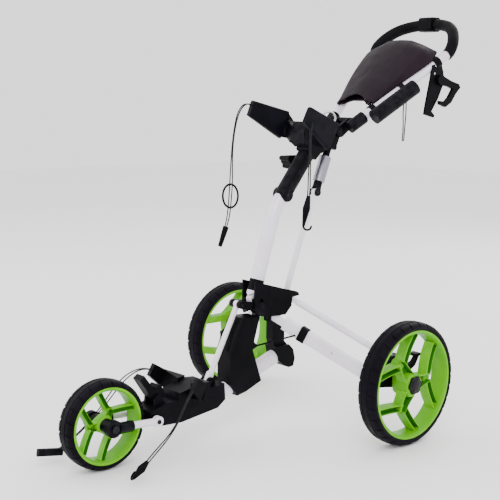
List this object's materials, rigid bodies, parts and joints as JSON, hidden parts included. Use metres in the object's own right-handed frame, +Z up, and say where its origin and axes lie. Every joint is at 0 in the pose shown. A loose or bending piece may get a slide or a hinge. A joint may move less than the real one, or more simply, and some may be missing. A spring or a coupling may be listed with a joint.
{
  "type": "golf push trolley",
  "caption": "Folding three-wheeled golf push trolley with green wheels, white tube frame, black bag cradles, hinged console, umbrella tube, cup holder and loop handle.",
  "frame": {"origin": "floor level under the middle of the trolley, halfway between the front of the front tyre and the back of the handle, on the plane of symmetry", "axes": "+Z up, +Y rearwards to the handle, +X to the left of someone who pushes it"},
  "size_m": [0.6848, 1.174, 1.019],
  "materials": {
    "white_paint": "gloss powder coat",
    "black_plastic": "fine grain moulding",
    "black_pads": "soft touch",
    "console_plastic": "dark grey satin moulding",
    "grip_foam": "closed cell foam",
    "tyre_foam": "moulded foam tread",
    "rim_green": "lime green moulding",
    "cap_black": "black cap",
    "steel": "zinc plated",
    "grey_sleeve": "satin anodised grey",
    "cord": "braided elastic cord"
  },
  "bodies": {
    "chassis": {"lower_tube": "white_paint", "front_base": "black_plastic", "lower_bag_bracket": "black_plastic", "front_brace": "white_paint", "collar_bracket": "black_plastic", "end_bracket": "black_plastic", "hub_housing": "black_plastic", "chassis_pins": "steel", "lower_right_bungee": "cord", "lower_right_pull": "black_plastic", "lower_left_bungee": "cord", "lower_left_hook": "black_plastic"},
    "fork": {"fork_arms": "white_paint", "fork_crosshead": "black_plastic", "fork_dropouts": "black_plastic", "front_axle": "steel"},
    "front_wheel": {"front_tyre": "tyre_foam", "front_rim": "rim_green"},
    "latch": {"fork_latch": "black_plastic"},
    "pedal": {"brake_pedal": "black_plastic"},
    "main_bar": {"upper_tube": "white_paint"},
    "strut": {"strut_tube": "white_paint"},
    "carriage": {"upper_sleeve": "black_plastic", "upper_bag_bracket": "black_plastic", "upper_bag_pads": "black_pads", "handle_hinge_block": "black_plastic", "strut_connector": "black_plastic", "carriage_pins": "steel", "bag_strap_hoop": "steel", "upper_right_bungee": "cord", "upper_right_pull": "black_plastic", "upper_left_bungee": "cord", "upper_left_hook": "black_plastic"},
    "lock_sleeve": {"strut_lock_sleeve": "grey_sleeve"},
    "knob": {"clamp_knob": "black_plastic"},
    "handle": {"handle_yoke": "black_plastic", "handle_legs": "white_paint", "handle_grip": "grip_foam", "grip_coupler": "black_plastic", "console_tray": "console_plastic", "umbrella_tube": "black_plastic", "cup_holder_plate": "black_plastic", "lanyard": "cord"},
    "lid": {"console_lid": "console_plastic"},
    "jaw": {"cup_holder_jaw": "black_plastic"},
    "left_leg": {"left_arm_beam": "white_paint", "arm_band": "black_plastic"},
    "left_link": {"left_arm_link": "white_paint"},
    "left_upright": {"left_carrier": "black_plastic", "left_axle": "steel"},
    "left_wheel": {"left_tyre": "tyre_foam", "left_rim": "rim_green", "left_hub_cap": "cap_black"},
    "right_leg": {"right_arm_beam": "white_paint"},
    "right_link": {"right_arm_link": "white_paint"},
    "right_upright": {"right_carrier": "black_plastic", "right_axle": "steel"},
    "right_wheel": {"right_tyre": "tyre_foam", "right_rim": "rim_green", "right_hub_cap": "cap_black"}
  },
  "joints": [
    {"name": "fork_fold", "type": "hinge", "parent": "chassis", "child": "fork", "pos_m": [0, -0.37, 0.091], "axis": [1, 0, 0], "range_deg": [0, 100]},
    {"name": "front_wheel_spin", "type": "hinge", "parent": "fork", "child": "front_wheel", "pos_m": [0, -0.487, 0.099], "axis": [1, 0, 0], "continuous": true},
    {"name": "fork_latch_press", "type": "hinge", "parent": "chassis", "child": "latch", "pos_m": [0, -0.352, 0.132], "axis": [-1, 0, 0], "range_deg": [0, 15], "stiffness_Nm_per_rad": 0.5, "springref_deg": -11.46},
    {"name": "left_leg_fold", "type": "hinge", "parent": "chassis", "child": "left_leg", "pos_m": [0.024, -0.0146, 0.2768], "axis": [0, 1, 0], "range_deg": [0, 42]},
    {"name": "left_link_fold", "type": "hinge", "parent": "chassis", "child": "left_link", "pos_m": [0.024, 0.0324, 0.3208], "axis": [0, 1, 0], "range_deg": [0, 42]},
    {"name": "left_upright_level", "type": "hinge", "parent": "left_leg", "child": "left_upright", "pos_m": [0.258, 0.0982, 0.1524], "axis": [0, 1, 0], "range_deg": [-42, 0]},
    {"name": "left_wheel_spin", "type": "hinge", "parent": "left_upright", "child": "left_wheel", "pos_m": [0.3105, 0.147, 0.146], "axis": [1, 0, 0], "continuous": true},
    {"name": "right_leg_fold", "type": "hinge", "parent": "chassis", "child": "right_leg", "pos_m": [-0.024, -0.0146, 0.2768], "axis": [0, -1, 0], "range_deg": [0, 42]},
    {"name": "right_link_fold", "type": "hinge", "parent": "chassis", "child": "right_link", "pos_m": [-0.024, 0.0324, 0.3208], "axis": [0, -1, 0], "range_deg": [0, 42]},
    {"name": "right_upright_level", "type": "hinge", "parent": "right_leg", "child": "right_upright", "pos_m": [-0.258, 0.0982, 0.1524], "axis": [0, -1, 0], "range_deg": [-42, 0]},
    {"name": "right_wheel_spin", "type": "hinge", "parent": "right_upright", "child": "right_wheel", "pos_m": [-0.3105, 0.147, 0.146], "axis": [1, 0, 0], "continuous": true},
    {"name": "brake_pedal_press", "type": "hinge", "parent": "left_upright", "child": "pedal", "pos_m": [0.27, 0.18, 0.158], "axis": [-1, 0, 0], "range_deg": [0, 25]},
    {"name": "main_fold", "type": "hinge", "parent": "chassis", "child": "main_bar", "pos_m": [0, -0.0595, 0.321], "axis": [1, 0, 0], "range_deg": [0, 70]},
    {"name": "strut_fold", "type": "hinge", "parent": "chassis", "child": "strut", "pos_m": [0, 0.0515, 0.321], "axis": [1, 0, 0], "range_deg": [0, 70]},
    {"name": "carriage_level", "type": "hinge", "parent": "main_bar", "child": "carriage", "pos_m": [0, 0.0345, 0.567], "axis": [1, 0, 0], "range_deg": [-70, 0]},
    {"name": "lock_sleeve_slide", "type": "slide", "parent": "carriage", "child": "lock_sleeve", "axis": [0, 0.3536, 0.9354], "range_m": [0, 0.014]},
    {"name": "clamp_knob_turn", "type": "hinge", "parent": "carriage", "child": "knob", "pos_m": [0, 0.09538, 0.6438], "axis": [-1, 0, 0], "range_deg": [0, 360]},
    {"name": "handle_tilt", "type": "hinge", "parent": "carriage", "child": "handle", "pos_m": [0, 0.2091, 0.718], "axis": [-1, 0, 0], "range_deg": [-20, 100]},
    {"name": "console_lid_open", "type": "hinge", "parent": "handle", "child": "lid", "pos_m": [0, 0.27661, 0.78709], "axis": [1, 0, 0], "range_deg": [0, 100]},
    {"name": "cup_jaw_swing", "type": "hinge", "parent": "handle", "child": "jaw", "pos_m": [0.1285, 0.462, 0.85], "axis": [1, 0, 0], "range_deg": [0, 55]}
  ],
  "couplings": [
    {"joint": "left_link_fold", "follows": "left_leg_fold", "ratio": 1},
    {"joint": "left_upright_level", "follows": "left_leg_fold", "ratio": -1},
    {"joint": "right_link_fold", "follows": "right_leg_fold", "ratio": 1},
    {"joint": "right_upright_level", "follows": "right_leg_fold", "ratio": -1},
    {"joint": "strut_fold", "follows": "main_fold", "ratio": 1},
    {"joint": "carriage_level", "follows": "main_fold", "ratio": -1}
  ]
}
